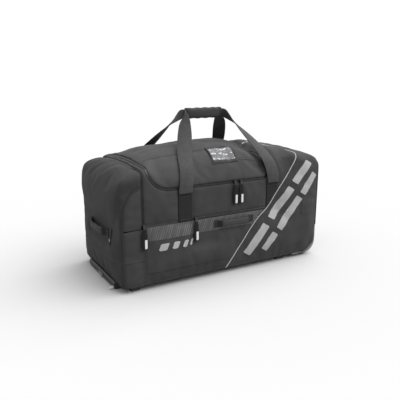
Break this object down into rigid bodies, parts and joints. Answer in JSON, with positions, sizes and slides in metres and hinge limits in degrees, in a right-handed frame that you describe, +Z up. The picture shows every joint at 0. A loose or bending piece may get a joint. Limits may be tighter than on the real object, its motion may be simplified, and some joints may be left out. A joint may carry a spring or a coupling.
{
  "type": "wheeled hockey equipment bag",
  "caption": "Wheeled hockey equipment bag with a zipped lid, end pocket, webbing carrying handles, corner wheels and a stowed tow handle.",
  "frame": {"origin": "on the floor, below the middle of the bag", "axes": "+X to the wheel end, -Y to the front side with the pocket, +Z up"},
  "size_m": [0.845, 0.4065, 0.571],
  "materials": {
    "bag_fabric": "charcoal coated woven polyester",
    "base_fabric": "heavy coated base cloth",
    "board": "textured stiffener board",
    "webbing": "ribbed polyester webbing",
    "handle_fabric": "padded handle cloth",
    "zip_tape": "zipper tape with coil",
    "zip_metal": "black enamelled zinc",
    "pull_rubber": "moulded rubber with a pale tip",
    "card_rim": "welded rim",
    "card_paper": "printed card",
    "clear_vinyl": "clear vinyl",
    "housing_plastic": "moulded grey plastic",
    "black_plastic": "moulded black plastic",
    "button_plastic": "moulded grey plastic",
    "wheel_rubber": "wheel tread",
    "hub_plastic": "moulded hub",
    "tube_alloy": "anodised tube",
    "steel": "plated steel"
  },
  "bodies": {
    "bag": {"front_panel": "bag_fabric", "back_panel": "bag_fabric", "wheel_end_panel": "bag_fabric", "base_panel": "base_fabric", "base_board": "board", "inner_end_wall": "bag_fabric", "top_left_panel": "bag_fabric", "top_right_panel": "bag_fabric", "lid_surround": "bag_fabric", "back_yoke": "bag_fabric", "end_lower_face": "bag_fabric", "end_lower_gussets": "bag_fabric", "front_pocket_panel": "bag_fabric", "pocket_zip_tape": "zip_tape", "lid_zip_tape": "zip_tape", "end_zip_tape": "zip_tape", "front_sewn_webbing": "webbing", "back_sewn_webbing": "webbing", "front_grab_handle": "handle_fabric", "end_grab_handle": "handle_fabric", "wheel_end_grab_handle": "handle_fabric", "wheel_housing_front": "housing_plastic", "wheel_housing_back": "housing_plastic", "wheel_axle_front": "steel", "wheel_axle_back": "steel", "skid_feet": "black_plastic", "tow_rails": "black_plastic", "tow_outer_tubes": "tube_alloy", "tow_end_plugs": "black_plastic", "housing_screws": "steel", "base_rivets": "steel"},
    "lid": {"lid_panel": "bag_fabric", "card_frame": "card_rim", "name_card": "card_paper", "card_window": "clear_vinyl"},
    "front_loop": {"front_carry_strap": "webbing", "handle_wrap": "handle_fabric"},
    "back_loop": {"back_carry_strap": "webbing"},
    "end_flap": {"end_flap_face": "bag_fabric", "end_flap_gusset": "bag_fabric"},
    "lid_slider_left": {"lid_slider_left": "zip_metal"},
    "lid_puller_left": {"lid_puller_left": "pull_rubber"},
    "lid_slider_right": {"lid_slider_right": "zip_metal"},
    "lid_puller_right": {"lid_puller_right": "pull_rubber"},
    "pocket_slider": {"pocket_slider": "zip_metal"},
    "pocket_puller": {"pocket_puller": "pull_rubber"},
    "end_slider": {"end_slider": "zip_metal"},
    "end_puller": {"end_puller": "pull_rubber"},
    "front_wheel": {"wheel_tyre_front": "wheel_rubber", "wheel_hub_front": "hub_plastic", "wheel_bearings_front": "steel"},
    "back_wheel": {"wheel_tyre_back": "wheel_rubber", "wheel_hub_back": "hub_plastic", "wheel_bearings_back": "steel"},
    "tow_handle": {"tow_inner_tubes": "tube_alloy", "tow_grip": "black_plastic", "tow_pull_tab": "pull_rubber", "tow_button_spring": "steel"},
    "tow_button": {"tow_button": "button_plastic"}
  },
  "joints": [
    {"name": "lid_hinge", "type": "hinge", "parent": "bag", "child": "lid", "pos_m": [0, 0.15, 0.426], "axis": [-1, 0, 0], "range_deg": [0, 105]},
    {"name": "front_loop_swing", "type": "hinge", "parent": "bag", "child": "front_loop", "pos_m": [0, -0.198, 0.324], "axis": [1, 0, 0], "range_deg": [0, 174]},
    {"name": "back_loop_swing", "type": "hinge", "parent": "bag", "child": "back_loop", "pos_m": [0, 0.198, 0.324], "axis": [-1, 0, 0], "range_deg": [0, 174]},
    {"name": "end_flap_hinge", "type": "hinge", "parent": "bag", "child": "end_flap", "pos_m": [-0.405, 0, 0.212], "axis": [0, -1, 0], "range_deg": [0, 95]},
    {"name": "front_wheel_spin", "type": "hinge", "parent": "bag", "child": "front_wheel", "pos_m": [0.35, -0.163, 0.033], "axis": [0, 1, 0], "continuous": true},
    {"name": "back_wheel_spin", "type": "hinge", "parent": "bag", "child": "back_wheel", "pos_m": [0.35, 0.163, 0.033], "axis": [0, 1, 0], "continuous": true},
    {"name": "tow_slide", "type": "slide", "parent": "bag", "child": "tow_handle", "axis": [-1, 0, 0], "range_m": [0, 0.42]},
    {"name": "tow_button_press", "type": "slide", "parent": "tow_handle", "child": "tow_button", "axis": [1, 0, 0], "range_m": [0, 0.003], "stiffness_N_per_m": 600},
    {"name": "lid_slider_left_slide", "type": "slide", "parent": "bag", "child": "lid_slider_left", "axis": [-1, 0, 0], "range_m": [0, 0.13]},
    {"name": "lid_puller_left_swing", "type": "hinge", "parent": "lid_slider_left", "child": "lid_puller_left", "pos_m": [0.014, -0.1982, 0.329], "axis": [-1, 0, 0], "range_deg": [0, 110]},
    {"name": "lid_slider_right_slide", "type": "slide", "parent": "bag", "child": "lid_slider_right", "axis": [1, 0, 0], "range_m": [0, 0.095]},
    {"name": "lid_puller_right_swing", "type": "hinge", "parent": "lid_slider_right", "child": "lid_puller_right", "pos_m": [0.038, -0.1982, 0.329], "axis": [-1, 0, 0], "range_deg": [0, 110]},
    {"name": "pocket_slider_slide", "type": "slide", "parent": "bag", "child": "pocket_slider", "axis": [1, 0, 0], "range_m": [0, 0.06]},
    {"name": "pocket_puller_swing", "type": "hinge", "parent": "pocket_slider", "child": "pocket_puller", "pos_m": [-0.141, -0.1982, 0.221], "axis": [-1, 0, 0], "range_deg": [0, 110]},
    {"name": "end_slider_slide", "type": "slide", "parent": "bag", "child": "end_slider", "axis": [0, 0, 1], "range_m": [0, 0.098]},
    {"name": "end_puller_swing", "type": "hinge", "parent": "end_slider", "child": "end_puller", "pos_m": [-0.328, -0.1982, 0.222], "axis": [-1, 0, 0], "range_deg": [0, 110]}
  ],
  "couplings": [
    {"joint": "front_loop_swing", "follows": "lid_hinge", "ratio": 1.65},
    {"joint": "back_loop_swing", "follows": "lid_hinge", "ratio": 1.65}
  ]
}
